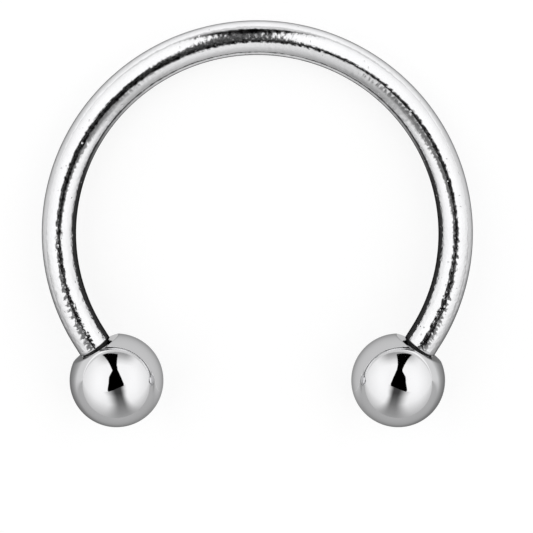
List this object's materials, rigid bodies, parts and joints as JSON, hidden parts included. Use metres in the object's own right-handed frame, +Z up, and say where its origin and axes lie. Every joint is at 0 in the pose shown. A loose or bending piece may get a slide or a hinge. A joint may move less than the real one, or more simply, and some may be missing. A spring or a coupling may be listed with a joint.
{
  "type": "horseshoe barbell",
  "caption": "Horseshoe barbell for a piercing: an open ring of round polished steel wire, closed at each end by a screw-on ball.",
  "frame": {"origin": "middle of the box's bottom face, on the surface that the ring lies on", "axes": "+X across the mouth from the left ball to the right one, +Y from the balls to the back of the arc, +Z up"},
  "size_m": [0.015, 0.0142, 0.0033],
  "materials": {
    "wire_steel": "polished surgical steel wire, with faint draw lines and fine pits",
    "ball_steel": "mirror-polished surgical steel, not plated"
  },
  "bodies": {
    "bar": {"bar": "wire_steel"},
    "left_ball": {"left_ball": "ball_steel"},
    "right_ball": {"right_ball": "ball_steel"}
  },
  "joints": [
    {"name": "left_ball_off", "type": "slide", "parent": "bar", "child": "left_ball", "axis": [0.524, -0.8486, 0.0734], "range_m": [0, 0.003]},
    {"name": "right_ball_off", "type": "slide", "parent": "bar", "child": "right_ball", "axis": [-0.524, -0.8486, 0.0734], "range_m": [0, 0.003]}
  ]
}
